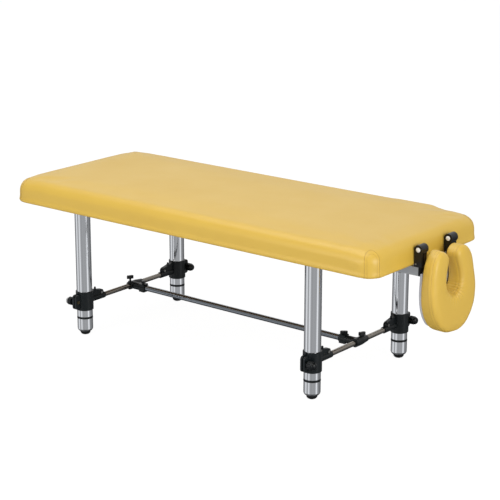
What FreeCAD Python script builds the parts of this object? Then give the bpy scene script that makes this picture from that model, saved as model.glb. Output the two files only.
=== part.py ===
# Massage bed with a padded top, four chromed tube legs, a clamped H stretcher and a
# face cradle that hangs folded against the head end.
# Frame: origin on the floor at the middle of the whole outline, +X along the bed to the
# head end, +Y from the near side to the far side, +Z up. Sizes are in millimetres.

import FreeCAD, Part
import math
import os

# Bed top
BED_LENGTH = 1700.0
BED_WIDTH = 700.0
BED_HEIGHT = 600.0
MATTRESS_THICKNESS = 100.0
CORNER_RADIUS = 65.0
TOP_EDGE_RADIUS = 45.0
BOTTOM_EDGE_RADIUS = 8.0
RECESS_DEPTH = 24.0
RECESS_FROM_HEAD = 195.0
RECESS_RAMP = 50.0
RECESS_RADIUS = 55.0

# Base board and battens under the padding
BOARD_THICKNESS = 12.0
BOARD_INSET = 30.0
BATTEN_LENGTH = 1400.0
BATTEN_WIDTH = 40.0
BATTEN_THICKNESS = 18.0
BATTEN_Y = 170.0

# Legs
LEG_INSET_X = 300.0
LEG_INSET_Y = 77.5
LEG_OD = 60.5
LEG_WALL = 1.6
FLANGE_SIDE = 90.0
FLANGE_THICKNESS = 4.0
FLANGE_CORNER = 12.0
FLANGE_SPIGOT = 36.0
FLANGE_SPIGOT_WALL = 2.0
FLANGE_HOLE_OFFSET = 34.0
SCREW_D = 5.0
SCREW_GRIP = 10.0
SCREW_HEAD_D = 9.5
SCREW_HEAD_T = 3.0
SCREW_HEAD_EDGE = 1.0

# Levelling feet
FOOT_HEIGHT = 14.0
FOOT_TOP_D = 40.0
FOOT_REST_D = 21.0
FOOT_PEG_D = 10.0
FOOT_PEG_L = 10.0
SLEEVE_TOP_Z = 70.7
SLEEVE_TAPER_H = 11.0
SLEEVE_BOTTOM_D = 44.0
SLEEVE_WALL = 1.6
SLEEVE_FLOOR = 3.5
STEM_D = 16.0
STEM_TOP_Z = 112.0
RING_H = 5.0
PLUG_DEPTH = 24.0

# Leg collars and the bars between the legs
COLLAR_Z = 139.5
COLLAR_H = 75.0
COLLAR_WALL = 3.7
COLLAR_EDGE = 1.2
COLLAR_SLIT = 4.0
EAR_T = 8.0
EAR_H = 58.0
EAR_REACH = 57.5
EAR_CORNER = 12.0
CLAMP_BOLT_OUT = 45.5
CLAMP_BOLT_D = 8.0
BAR_Z = 134.0
CROSS_BAR_D = 19.0
LONG_BAR_D = 22.0
BAR_WALL = 1.5
CROSS_BAR_START = 36.5
SOCKET_END = 107.0
SOCKET_WALL = 3.0
HUMP_OUT = 87.0
HUMP_RADIUS = 12.0
HUMP_RISE = 16.0
WEB_T = 14.0
WEB_TOP_DROP = 3.0
HUMP_SLOT = 2.4
SOCKET_BOLT_D = 6.0
SOCKET_BOLT_HEAD_D = 11.0
SOCKET_BOLT_HEAD_T = 3.0
SOCKET_NUT_D = 9.6
SOCKET_NUT_T = 4.0
NUB_OUT = 58.0
NUB_D = 8.0
NUB_RISE = 6.0

# Collar knobs
KNOB_D = 32.0
KNOB_L = 17.5
KNOB_EDGE = 1.5
KNOB_HUB_D = 18.0
KNOB_HUB_L = 8.5
KNOB_DOME_D = 28.0
KNOB_DOME_L = 13.5
KNOB_DOME_FLAT = 1.5
KNOB_FLUTES = 8
KNOB_FLUTE_R = 5.0
KNOB_FLUTE_DEPTH = 1.6
NUT_D = 10.0
NUT_T = 3.0

# T clamps in the middle of the cross bars
T_SLEEVE_R = 16.0
T_SLEEVE_END_R = 12.0
T_SLEEVE_NEAR = 20.0
T_SLEEVE_FAR = 55.0
T_SOCKET_R = 15.0
T_SOCKET_END = 76.0
T_EDGE = 1.5
LONG_BAR_START = 14.0
BLOCK_START = 46.0
BLOCK_END = 74.0
BLOCK_HALF_WIDTH = 14.0
BLOCK_HALF_HEIGHT = 16.0
BLOCK_EDGE = 3.0
T_GUSSET_T = 12.0
T_BOSS_R = 9.0
T_BOSS_RISE = 1.5
T_SPLIT = 3.0
T_KNOB_L = 28.0
T_KNOB_W = 12.0
T_KNOB_H = 12.5
T_KNOB_EDGE = 2.0
T_KNOB_STEM_D = 8.0
T_KNOB_LIFT = 11.0

# Cradle brackets, hinges and cushion
BRACKET_H = 30.0
BRACKET_W = 20.0
BRACKET_WALL = 2.0
BRACKET_LENGTH = 370.0
BRACKET_END_OUT = 21.0
BUMPER_T = 6.0
BUMPER_PLUG_L = 6.0
BRACKET_BOLT_D = 6.0
BRACKET_BOLT_HEAD_D = 12.0
BRACKET_BOLT_HEAD_T = 4.0
BRACKET_BOLT_IN = (60.0, 300.0)
HINGE_SPACING = 188.0
HINGE_WIDTH = 39.0
HINGE_OUT = 17.0
HINGE_DROP = 40.0
KNUCKLE_R = 16.5
ARM_W = 30.0
ARM_T = 8.0
TANG_L = 12.0
TANG_DEPTH = 24.0
PIN_D = 10.0
PIN_HEAD_D = 18.0
PIN_HEAD_T = 2.0
CAP_D = 20.0
CAP_T = 2.5
RIVET_D = 6.0
RIVET_HEAD_T = 1.6
RIVET_DROP = 50.0
STRAP_T = 5.0
STRAP_W = 19.0
STRAP_DROP = 160.0
STRAP_WEB_T = 6.0
STRAP_WEB_DROP = 74.0
STRAP_SCREW_DROPS = (102.0, 140.0)
STRAP_SCREW_L = 12.0
CRADLE_BOARD_T = 9.0
CRADLE_BOARD_DROP = 82.0
CUSHION_T = 71.0
CUSHION_W = 250.0
CUSHION_DROP = 304.0
CUSHION_H = 307.0
CUSHION_SLOT_W = 78.0
CUSHION_SLOT_FLOOR = 149.0
CUSHION_FRONT_R = 22.0
CUSHION_BACK_R = 8.0

# Clearances
RUN_FIT = 0.05
SLIP_FIT = 0.1
SIDE_GAP = 0.3

# Places that follow from the sizes above
UNDERSIDE_Z = BED_HEIGHT - MATTRESS_THICKNESS
BUMPER_OUT = BRACKET_END_OUT + BUMPER_T
CRADLE_BACK_OUT = BUMPER_OUT + SIDE_GAP
CUSHION_BACK_OUT = CRADLE_BACK_OUT + CRADLE_BOARD_T
CRADLE_REACH = CUSHION_BACK_OUT + CUSHION_T
HEAD_X = (BED_LENGTH - CRADLE_REACH) / 2
FOOT_X = HEAD_X - BED_LENGTH
MID_X = (HEAD_X + FOOT_X) / 2
LEG_SPACING_X = BED_LENGTH - 2 * LEG_INSET_X
LEG_SPACING_Y = BED_WIDTH - 2 * LEG_INSET_Y
LEG_R = LEG_OD / 2
LEG_BORE_R = LEG_R - LEG_WALL
LEG_TOP_Z = UNDERSIDE_Z - FLANGE_THICKNESS
RING_Z = SLEEVE_TOP_Z + SIDE_GAP
LEG_BOTTOM_Z = RING_Z + RING_H
COLLAR_BORE_R = LEG_R + SLIP_FIT
COLLAR_R = COLLAR_BORE_R + COLLAR_WALL
COLLAR_ROOT_R = COLLAR_BORE_R + COLLAR_WALL * 0.4
BAR_BORE_R = CROSS_BAR_D / 2 + SLIP_FIT
LONG_BORE_R = LONG_BAR_D / 2 + SLIP_FIT
PIVOT_X = HEAD_X + HINGE_OUT
PIVOT_Z = BED_HEIGHT - HINGE_DROP
STRAP_BOTTOM_Z = PIVOT_Z - STRAP_DROP
CRADLE_BOARD_TOP_Z = PIVOT_Z - CRADLE_BOARD_DROP
CUSHION_BOTTOM_Z = PIVOT_Z - CUSHION_DROP
BRACKET_TOP_Z = UNDERSIDE_Z
CRADLE_BACK_X = HEAD_X + CRADLE_BACK_OUT
CUSHION_BACK_X = HEAD_X + CUSHION_BACK_OUT

# Each leg: its end and side, and the signs of its place and of its clamp knob
LEGS = {
    "foot_near": (-1, -1, -1),
    "foot_far": (-1, 1, 1),
    "head_near": (1, -1, 1),
    "head_far": (1, 1, 1),
}
SIDES = {"near": -1, "far": 1}
ENDS = {"foot": -1, "head": 1}

# Each T clamp: where its cross-bar knob stands along the bar, how far it is unscrewed,
# and the turn of its two knobs from the X axis
T_CLAMPS = {
    "foot": (-12.0, T_KNOB_LIFT, 65.0, 129.0),
    "head": (28.0, 0.0, 65.0, 39.0),
}

X_AXIS = FreeCAD.Vector(1, 0, 0)
Y_AXIS = FreeCAD.Vector(0, 1, 0)
Z_AXIS = FreeCAD.Vector(0, 0, 1)


def vec(x, y, z):
    return FreeCAD.Vector(x, y, z)


def block(x0, x1, y0, y1, z0, z1):
    return Part.makeBox(x1 - x0, y1 - y0, z1 - z0, vec(x0, y0, z0))


def rod(radius, start, direction, length):
    return Part.makeCylinder(radius, length, start, direction)


def tube(outer, inner, start, direction, length):
    return rod(outer, start, direction, length).cut(rod(inner, start, direction, length))


def revolved(profile, axis_point=vec(0, 0, 0)):
    """Solid of revolution about a vertical axis from (radius, height) corners."""
    corners = [vec(radius, 0, height) for radius, height in profile]
    face = Part.Face(Part.makePolygon(corners + corners[:1]))
    solid = face.revolve(vec(0, 0, 0), Z_AXIS, 360)
    solid.translate(axis_point)
    return solid


def prism(corners, push):
    """Straight extrusion of a flat polygon."""
    return Part.Face(Part.makePolygon(corners + corners[:1])).extrude(push)


def upright_edges(solid):
    found = []
    for edge in solid.Edges:
        box = edge.BoundBox
        if box.XLength < 1e-6 and box.YLength < 1e-6:
            found.append(edge)
    return found


def level_edges(solid, height):
    found = []
    for edge in solid.Edges:
        box = edge.BoundBox
        if abs(box.ZMin - height) < 1e-4 and abs(box.ZMax - height) < 1e-4:
            found.append(edge)
    return found


def turned(solid, angle, centre, axis=Z_AXIS):
    copy = solid.copy()
    copy.rotate(centre, axis, angle)
    return copy


def leg_place(name):
    end, side, _ = LEGS[name]
    return vec(MID_X + end * LEG_SPACING_X / 2, side * LEG_SPACING_Y / 2, 0)


def on_leg(solid, name):
    """Moves a piece made for a near leg at the origin to its own leg."""
    side = LEGS[name][1]
    placed = turned(solid, 180, vec(0, 0, 0)) if side > 0 else solid.copy()
    placed.translate(leg_place(name))
    return placed


# Bed top: the plan is a rounded rectangle whose far side steps in near the head end
def bed_plan(inset, bottom_z, top_z):
    near = -BED_WIDTH / 2 + inset
    far = BED_WIDTH / 2 - inset
    foot = FOOT_X + inset
    head = HEAD_X - inset
    step = HEAD_X - RECESS_FROM_HEAD
    plan = [
        (foot, near),
        (head, near),
        (head, far - RECESS_DEPTH),
        (step + RECESS_RAMP, far - RECESS_DEPTH),
        (step, far),
        (foot, far),
    ]
    slab = prism([vec(x, y, bottom_z) for x, y in plan], vec(0, 0, top_z - bottom_z))
    corners = []
    ramps = []
    for edge in upright_edges(slab):
        x = edge.BoundBox.XMin
        at_ramp = step - 1 < x < step + RECESS_RAMP + 1
        (ramps if at_ramp else corners).append(edge)
    slab = slab.makeFillet(CORNER_RADIUS - inset, corners)
    ramps = [e for e in upright_edges(slab) if step - 1 < e.BoundBox.XMin < step + RECESS_RAMP + 1]
    return slab.makeFillet(RECESS_RADIUS, ramps)


def make_base_board():
    """Plywood board with pilot holes for the leg screws and the bracket bolts."""
    board = bed_plan(BOARD_INSET, UNDERSIDE_Z, UNDERSIDE_Z + BOARD_THICKNESS)
    for place in screw_places():
        board = board.cut(rod(SCREW_D / 2, place, Z_AXIS, SCREW_GRIP))
    for place in bracket_bolt_places():
        board = board.cut(rod(BRACKET_BOLT_D / 2, place, Z_AXIS, SCREW_GRIP))
    return board


def make_mattress():
    """Padded top with a recess in its underside that holds the board."""
    body = bed_plan(0, UNDERSIDE_Z, BED_HEIGHT)
    body = body.makeFillet(TOP_EDGE_RADIUS, level_edges(body, BED_HEIGHT))
    body = body.makeFillet(BOTTOM_EDGE_RADIUS, level_edges(body, UNDERSIDE_Z))
    return body.cut(bed_plan(BOARD_INSET, UNDERSIDE_Z, UNDERSIDE_Z + BOARD_THICKNESS))


def make_battens():
    start = MID_X - BATTEN_LENGTH / 2
    low = UNDERSIDE_Z - BATTEN_THICKNESS
    bars = []
    for side in SIDES.values():
        inner = side * BATTEN_Y - BATTEN_WIDTH / 2
        bars.append(block(start, start + BATTEN_LENGTH, inner, inner + BATTEN_WIDTH, low, UNDERSIDE_Z))
    return Part.makeCompound(bars)


# Legs: flange, tube, end plug, levelling sleeve and rubber foot
def flange_hole_offsets():
    offset = FLANGE_HOLE_OFFSET
    return [(sx * offset, sy * offset) for sx in (-1, 1) for sy in (-1, 1)]


def screw_places():
    """Centres of the leg screws on the underside of the board."""
    places = []
    for name in LEGS:
        base = leg_place(name)
        for dx, dy in flange_hole_offsets():
            places.append(vec(base.x + dx, base.y + dy, UNDERSIDE_Z))
    return places


def make_flange(name):
    half = FLANGE_SIDE / 2
    plate = block(-half, half, -half, half, LEG_TOP_Z, UNDERSIDE_Z)
    plate = plate.makeFillet(FLANGE_CORNER, upright_edges(plate))
    for dx, dy in flange_hole_offsets():
        plate = plate.cut(rod(SCREW_D / 2 + SLIP_FIT, vec(dx, dy, LEG_TOP_Z), Z_AXIS, FLANGE_THICKNESS))
    outer = LEG_BORE_R - SLIP_FIT
    spigot_z = LEG_TOP_Z - FLANGE_SPIGOT
    spigot = tube(outer, outer - FLANGE_SPIGOT_WALL, vec(0, 0, spigot_z), Z_AXIS, FLANGE_SPIGOT)
    return on_leg(plate.fuse(spigot), name)


def make_screw(head_z):
    """Round-headed screw that points up, with the underside of its head at head_z."""
    shank_top = UNDERSIDE_Z + SCREW_GRIP
    low = head_z - SCREW_HEAD_T
    rim = SCREW_HEAD_D / 2
    profile = [
        (0, low),
        (rim * 0.6, low),
        (rim, low + SCREW_HEAD_T * 0.6),
        (rim, head_z),
        (SCREW_D / 2, head_z),
        (SCREW_D / 2, shank_top),
        (0, shank_top),
    ]
    return revolved(profile)


def make_flange_screws():
    screws = []
    for place in screw_places():
        screw = make_screw(LEG_TOP_Z)
        screw.translate(vec(place.x, place.y, 0))
        screws.append(screw)
    return Part.makeCompound(screws)


def make_leg_tube(name):
    pipe = tube(LEG_R, LEG_BORE_R, vec(0, 0, LEG_BOTTOM_Z), Z_AXIS, LEG_TOP_Z - LEG_BOTTOM_Z)
    return on_leg(pipe, name)


def make_leg_plug(name):
    """Plastic plug whose rim shows as a dark ring between the tube and the sleeve."""
    bore = STEM_D / 2 + RUN_FIT
    plug_r = LEG_BORE_R - SLIP_FIT
    profile = [
        (bore, RING_Z),
        (LEG_R, RING_Z),
        (LEG_R, LEG_BOTTOM_Z),
        (plug_r, LEG_BOTTOM_Z),
        (plug_r, LEG_BOTTOM_Z + PLUG_DEPTH),
        (bore, LEG_BOTTOM_Z + PLUG_DEPTH),
    ]
    return on_leg(revolved(profile), name)


def make_foot_sleeve(name):
    """Chromed end sleeve on its threaded stem, tapered to the rubber foot."""
    rim = SLEEVE_BOTTOM_D / 2
    taper_top = FOOT_HEIGHT + SLEEVE_TAPER_H
    inner = LEG_R - SLEEVE_WALL
    floor = FOOT_HEIGHT + SLEEVE_FLOOR
    peg_r = FOOT_PEG_D / 2
    peg_top = FOOT_HEIGHT + FOOT_PEG_L
    mid_r = (rim + LEG_R) / 2 + SLEEVE_TAPER_H * 0.12
    mid_z = FOOT_HEIGHT + SLEEVE_TAPER_H * 0.42
    start = vec(rim, 0, FOOT_HEIGHT)
    end = vec(LEG_R, 0, taper_top)
    bulge = Part.Arc(start, vec(mid_r, 0, mid_z), end).toShape()
    corners = [
        (LEG_R, taper_top),
        (LEG_R, SLEEVE_TOP_Z),
        (inner, SLEEVE_TOP_Z),
        (inner, taper_top + SLEEVE_WALL),
        (rim - SLEEVE_WALL, floor),
        (STEM_D / 2, floor),
        (STEM_D / 2, STEM_TOP_Z),
        (0, STEM_TOP_Z),
        (0, peg_top),
        (peg_r, peg_top),
        (peg_r, FOOT_HEIGHT),
        (rim, FOOT_HEIGHT),
    ]
    walls = Part.makePolygon([vec(r, 0, z) for r, z in corners])
    outline = Part.Wire([bulge] + walls.Edges)
    return on_leg(Part.Face(outline).revolve(vec(0, 0, 0), Z_AXIS, 360), name)


def make_rubber_foot(name):
    """Rounded rubber tip with a flat rest and a peg that goes up into the sleeve."""
    top_r = FOOT_TOP_D / 2
    rest_r = FOOT_REST_D / 2
    peg_r = FOOT_PEG_D / 2
    lip = FOOT_HEIGHT * 0.8
    belly = Part.Arc(
        vec(rest_r, 0, 0),
        vec((top_r + rest_r) / 2 + FOOT_HEIGHT * 0.13, 0, lip * 0.35),
        vec(top_r, 0, lip),
    ).toShape()
    corners = [
        (top_r, lip),
        (top_r, FOOT_HEIGHT),
        (peg_r, FOOT_HEIGHT),
        (peg_r, FOOT_HEIGHT + FOOT_PEG_L - SIDE_GAP),
        (0, FOOT_HEIGHT + FOOT_PEG_L - SIDE_GAP),
        (0, 0),
        (rest_r, 0),
    ]
    walls = Part.makePolygon([vec(r, 0, z) for r, z in corners])
    outline = Part.Wire([belly] + walls.Edges)
    return on_leg(Part.Face(outline).revolve(vec(0, 0, 0), Z_AXIS, 360), name)


# Collars: split rings with clamp ears on the outside and a socket for the cross bar
def collar_ring():
    low = COLLAR_Z - COLLAR_H / 2
    high = COLLAR_Z + COLLAR_H / 2
    profile = [
        (COLLAR_BORE_R, low),
        (COLLAR_R - COLLAR_EDGE, low),
        (COLLAR_R, low + COLLAR_EDGE),
        (COLLAR_R, high - COLLAR_EDGE),
        (COLLAR_R - COLLAR_EDGE, high),
        (COLLAR_BORE_R, high),
    ]
    return revolved(profile)


def collar_ear(sign):
    """One rounded clamp plate beside the slit."""
    low = COLLAR_Z - EAR_H / 2
    start = sign * COLLAR_SLIT / 2
    edges = (start, start + sign * EAR_T)
    plate = block(min(edges), max(edges), -EAR_REACH, -COLLAR_ROOT_R, low, low + EAR_H)
    rounded = []
    for edge in plate.Edges:
        box = edge.BoundBox
        if box.YLength < 1e-6 and box.ZLength < 1e-6 and abs(box.YMin + EAR_REACH) < 1e-6:
            rounded.append(edge)
    return plate.makeFillet(EAR_CORNER, rounded)


def collar_web():
    """Upright web above the socket that ends in the hump of its clamp screw."""
    half = WEB_T / 2
    top = COLLAR_Z + COLLAR_H / 2 - WEB_TOP_DROP
    hump_z = BAR_Z + HUMP_RISE
    outline = [
        vec(-half, COLLAR_ROOT_R, BAR_Z),
        vec(-half, HUMP_OUT, BAR_Z),
        vec(-half, HUMP_OUT, hump_z + HUMP_RADIUS),
        vec(-half, COLLAR_ROOT_R, top),
    ]
    web = prism(outline, vec(WEB_T, 0, 0))
    hump = rod(HUMP_RADIUS, vec(-half, HUMP_OUT, hump_z), X_AXIS, WEB_T)
    post = block(-half, half, HUMP_OUT, HUMP_OUT + HUMP_RADIUS, BAR_Z, hump_z)
    return web.fuse([hump, post])


def collar_nub():
    """Ball-ended locating pin on the slope of the web."""
    slope_top = COLLAR_Z + COLLAR_H / 2 - WEB_TOP_DROP
    hump_top = BAR_Z + HUMP_RISE + HUMP_RADIUS
    share = (NUB_OUT - COLLAR_ROOT_R) / (HUMP_OUT - COLLAR_ROOT_R)
    surface = slope_top + share * (hump_top - slope_top)
    stem = rod(NUB_D / 2, vec(0, NUB_OUT, surface - NUB_D), Z_AXIS, NUB_D + NUB_RISE)
    ball = Part.makeSphere(NUB_D / 2, vec(0, NUB_OUT, surface + NUB_RISE))
    return stem.fuse(ball)


def make_collar(name):
    socket_r = BAR_BORE_R + SOCKET_WALL
    socket = rod(socket_r, vec(0, COLLAR_ROOT_R, BAR_Z), Y_AXIS, SOCKET_END - COLLAR_ROOT_R)
    body = collar_ring().fuse([collar_ear(-1), collar_ear(1), socket, collar_web(), collar_nub()])
    low = COLLAR_Z - COLLAR_H / 2
    half_slit = COLLAR_SLIT / 2
    body = body.cut(block(-half_slit, half_slit, -EAR_REACH, -COLLAR_BORE_R + 2, low, low + COLLAR_H))
    body = body.cut(rod(BAR_BORE_R, vec(0, CROSS_BAR_START, BAR_Z), Y_AXIS, SOCKET_END))
    slot_top = BAR_Z + HUMP_RISE + HUMP_RADIUS + 1
    slot_start = HUMP_OUT - HUMP_RADIUS - 4
    body = body.cut(block(-HUMP_SLOT / 2, HUMP_SLOT / 2, slot_start, SOCKET_END + 1, BAR_Z, slot_top))
    bolt_r = CLAMP_BOLT_D / 2 + RUN_FIT
    reach = COLLAR_SLIT / 2 + EAR_T
    body = body.cut(rod(bolt_r, vec(-reach, -CLAMP_BOLT_OUT, COLLAR_Z), X_AXIS, 2 * reach))
    pin_r = SOCKET_BOLT_D / 2 + SLIP_FIT
    pin_z = BAR_Z + HUMP_RISE
    body = body.cut(rod(pin_r, vec(-WEB_T, HUMP_OUT, pin_z), X_AXIS, 2 * WEB_T))
    return on_leg(body.removeSplitter(), name)


def knob_on_leg(solid, name):
    """Places a piece of the clamp screw, made with its knob towards -X on a near leg."""
    side, knob = LEGS[name][1], LEGS[name][2]
    faces = -1 if side < 0 else 1
    placed = solid.copy()
    if knob != faces:
        placed = turned(placed, 180, vec(0, -CLAMP_BOLT_OUT, COLLAR_Z))
    return on_leg(placed, name)


def knob_start():
    return COLLAR_SLIT / 2 + EAR_T + SIDE_GAP + KNOB_HUB_L


def make_collar_knob(name, domed):
    """Fluted knob on a stud that passes through both ears."""
    axis = vec(0, -CLAMP_BOLT_OUT, COLLAR_Z)
    start = knob_start()
    grip = rod(KNOB_D / 2, vec(-start, 0, 0) + axis, X_AXIS.negative(), KNOB_L)
    grip = grip.makeChamfer(KNOB_EDGE, [e for e in grip.Edges if e.BoundBox.XLength < 1e-6])
    for index in range(KNOB_FLUTES):
        angle = math.radians((index + 0.5) * 360.0 / KNOB_FLUTES)
        out = KNOB_D / 2 + KNOB_FLUTE_R - KNOB_FLUTE_DEPTH
        centre = vec(-start, out * math.cos(angle), out * math.sin(angle)) + axis
        grip = grip.cut(rod(KNOB_FLUTE_R, centre, X_AXIS.negative(), KNOB_L))
    stud_l = KNOB_L / 2 + start + COLLAR_SLIT / 2 + EAR_T + NUT_T
    stud = rod(CLAMP_BOLT_D / 2, vec(-start - KNOB_L / 2, 0, 0) + axis, X_AXIS, stud_l)
    hub = rod(KNOB_HUB_D / 2, vec(-start - 1, 0, 0) + axis, X_AXIS, KNOB_HUB_L + 1)
    pieces = [stud, hub]
    if domed:
        pieces.append(knob_dome())
    return knob_on_leg(grip.fuse(pieces).removeSplitter(), name)


def knob_dome():
    """Rounded end of a knob, flush on its outer face."""
    half = KNOB_DOME_D / 2
    start = knob_start() + KNOB_L
    shoulder = KNOB_DOME_L * 0.25
    base = vec(0, 0, 0)
    arc = Part.Arc(
        vec(half, 0, shoulder),
        vec(half * 0.74, 0, shoulder + (KNOB_DOME_L - shoulder) * 0.66),
        vec(KNOB_DOME_FLAT, 0, KNOB_DOME_L),
    ).toShape()
    walls = Part.makePolygon([
        vec(KNOB_DOME_FLAT, 0, KNOB_DOME_L),
        vec(0, 0, KNOB_DOME_L),
        base,
        vec(half, 0, 0),
        vec(half, 0, shoulder),
    ])
    dome = Part.Face(Part.Wire([arc] + walls.Edges)).revolve(base, Z_AXIS, 360)
    dome.rotate(base, Y_AXIS, -90)
    dome.translate(vec(-start, -CLAMP_BOLT_OUT, COLLAR_Z))
    return dome


def make_knob_cap(name):
    return knob_on_leg(knob_dome(), name)


def make_collar_nuts():
    """Round brass nuts in which the clamp studs end."""
    nuts = []
    for name in LEGS:
        reach = COLLAR_SLIT / 2 + EAR_T
        place = vec(reach, -CLAMP_BOLT_OUT, COLLAR_Z)
        nut = tube(NUT_D / 2, CLAMP_BOLT_D / 2 + RUN_FIT, place, X_AXIS, NUT_T)
        nuts.append(knob_on_leg(nut, name))
    return Part.makeCompound(nuts)


def make_socket_bolts():
    """Cross screws that clamp the sockets on the cross bars."""
    bolts = []
    half = WEB_T / 2
    pin_z = BAR_Z + HUMP_RISE
    for name in LEGS:
        shank = rod(SOCKET_BOLT_D / 2, vec(-half, HUMP_OUT, pin_z), X_AXIS, WEB_T)
        head = rod(SOCKET_BOLT_HEAD_D / 2, vec(half, HUMP_OUT, pin_z), X_AXIS, SOCKET_BOLT_HEAD_T)
        nut = rod(SOCKET_NUT_D / 2, vec(-half, HUMP_OUT, pin_z), X_AXIS.negative(), SOCKET_NUT_T)
        bolts.append(on_leg(head.fuse([shank, nut]), name))
    return Part.makeCompound(bolts)


# Stretcher bars
def make_cross_bar(end):
    x = MID_X + ENDS[end] * LEG_SPACING_X / 2
    start = -LEG_SPACING_Y / 2 + CROSS_BAR_START
    radius = CROSS_BAR_D / 2
    return tube(radius, radius - BAR_WALL, vec(x, start, BAR_Z), Y_AXIS, -2 * start)


def make_long_bar():
    start = MID_X - LEG_SPACING_X / 2 + LONG_BAR_START
    length = LEG_SPACING_X - 2 * LONG_BAR_START
    radius = LONG_BAR_D / 2
    return tube(radius, radius - BAR_WALL, vec(start, 0, BAR_Z), X_AXIS, length)


# T clamps: a sleeve on the cross bar, a socket for the long bar and a gusset between
def t_sleeve():
    profile = [
        (0, -T_SLEEVE_NEAR),
        (T_SLEEVE_R - T_EDGE, -T_SLEEVE_NEAR),
        (T_SLEEVE_R, -T_SLEEVE_NEAR + T_EDGE),
        (T_SLEEVE_R, T_SLEEVE_NEAR),
        (T_SLEEVE_END_R, T_SLEEVE_FAR),
        (0, T_SLEEVE_FAR),
    ]
    sleeve = revolved(profile)
    sleeve.rotate(vec(0, 0, 0), X_AXIS, -90)
    return sleeve


def t_gusset():
    """Flat web in the corner between the two bars, with a hollow free edge."""
    low = -T_GUSSET_T / 2
    far = T_SLEEVE_FAR - 5
    reach = BLOCK_START + 2
    curve = Part.Arc(
        vec(reach, T_SOCKET_R - 3, low),
        vec(T_SLEEVE_R + 9, T_SLEEVE_R + 9, low),
        vec(T_SLEEVE_END_R - 2, far, low),
    ).toShape()
    walls = Part.makePolygon([
        vec(T_SLEEVE_END_R - 2, far, low),
        vec(0, far, low),
        vec(0, 0, low),
        vec(reach, 0, low),
        vec(reach, T_SOCKET_R - 3, low),
    ])
    return Part.Face(Part.Wire([curve] + walls.Edges)).extrude(vec(0, 0, T_GUSSET_T))


def make_t_clamp(end):
    knob_y = T_CLAMPS[end][0]
    socket = rod(T_SOCKET_R, vec(0, 0, 0), X_AXIS, T_SOCKET_END)
    wide = BLOCK_HALF_WIDTH
    high = BLOCK_HALF_HEIGHT
    jaw = block(BLOCK_START, BLOCK_END, -wide, wide, -high, high)
    jaw = jaw.makeFillet(BLOCK_EDGE, upright_edges(jaw))
    boss_top = T_SLEEVE_R + T_BOSS_RISE
    boss = rod(T_BOSS_R, vec(0, knob_y, 0), Z_AXIS, boss_top)
    body = t_sleeve().fuse([socket, jaw, boss, t_gusset()])
    bore_l = T_SLEEVE_NEAR + T_SLEEVE_FAR + 2
    body = body.cut(rod(BAR_BORE_R, vec(0, -T_SLEEVE_NEAR - 1, 0), Y_AXIS, bore_l))
    body = body.cut(rod(LONG_BORE_R, vec(LONG_BAR_START, 0, 0), X_AXIS, T_SOCKET_END))
    stud_r = T_KNOB_STEM_D / 2 + RUN_FIT
    body = body.cut(rod(stud_r, vec(0, knob_y, 0), Z_AXIS, 2 * boss_top))
    jaw_mid = (BLOCK_START + BLOCK_END) / 2
    body = body.cut(rod(stud_r, vec(jaw_mid, 0, 0), Z_AXIS, 2 * BLOCK_HALF_HEIGHT))
    split = T_SPLIT / 2
    body = body.cut(block(BLOCK_START - 6, BLOCK_END + 3, -split, split, -BLOCK_HALF_HEIGHT - 1, 0))
    body = body.removeSplitter()
    if ENDS[end] > 0:
        body = body.mirror(vec(0, 0, 0), X_AXIS)
    body.translate(vec(MID_X + ENDS[end] * LEG_SPACING_X / 2, 0, BAR_Z))
    return body


def t_knob(stem_low, cap_low, angle, place):
    """Flat handle with rounded ends on a stud."""
    half = (T_KNOB_L - T_KNOB_W) / 2
    radius = T_KNOB_W / 2
    bar = block(-half, half, -radius, radius, 0, T_KNOB_H)
    ends = [rod(radius, vec(side * half, 0, 0), Z_AXIS, T_KNOB_H) for side in (-1, 1)]
    cap = bar.fuse(ends).removeSplitter()
    cap = cap.makeFillet(T_KNOB_EDGE, level_edges(cap, T_KNOB_H))
    cap.translate(vec(0, 0, cap_low))
    stem = rod(T_KNOB_STEM_D / 2, vec(0, 0, stem_low), Z_AXIS, cap_low - stem_low + T_KNOB_H / 2)
    knob = turned(cap.fuse(stem), angle, vec(0, 0, 0))
    knob.translate(place)
    return knob


def make_sleeve_knob(end):
    knob_y, lift, angle, _ = T_CLAMPS[end]
    x = MID_X + ENDS[end] * LEG_SPACING_X / 2
    stem_low = CROSS_BAR_D / 2 + SIDE_GAP
    cap_low = T_SLEEVE_R + T_BOSS_RISE + SIDE_GAP + lift
    return t_knob(stem_low, cap_low, angle, vec(x, knob_y, BAR_Z))


def make_socket_knob(end):
    angle = T_CLAMPS[end][3]
    jaw_mid = (BLOCK_START + BLOCK_END) / 2
    x = MID_X + ENDS[end] * (LEG_SPACING_X / 2 - jaw_mid)
    stem_low = LONG_BAR_D / 2 + SIDE_GAP
    cap_low = BLOCK_HALF_HEIGHT + SIDE_GAP
    return t_knob(stem_low, cap_low, angle, vec(x, 0, BAR_Z))


# Cradle brackets: square tubes bolted under the board, with rubber end caps
def hinge_middle(side):
    return SIDES[side] * HINGE_SPACING / 2


def arm_face(side):
    """Near face of the fixed arm of a hinge."""
    return hinge_middle(side) - HINGE_WIDTH / 2


def bracket_low_y(side):
    return arm_face(side) - BRACKET_WALL


def bracket_bolt_places():
    """Centres of the bracket bolts on the underside of the board."""
    places = []
    for side in SIDES:
        for inward in BRACKET_BOLT_IN:
            places.append(vec(HEAD_X - inward, bracket_low_y(side) + BRACKET_W / 2, UNDERSIDE_Z))
    return places


def tang_box(side, margin):
    back = PIVOT_X - ARM_W / 2
    low = BRACKET_TOP_Z - TANG_DEPTH
    face = arm_face(side)
    return block(back - margin, back + TANG_L + margin, face, face + ARM_T, low, BRACKET_TOP_Z)


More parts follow.
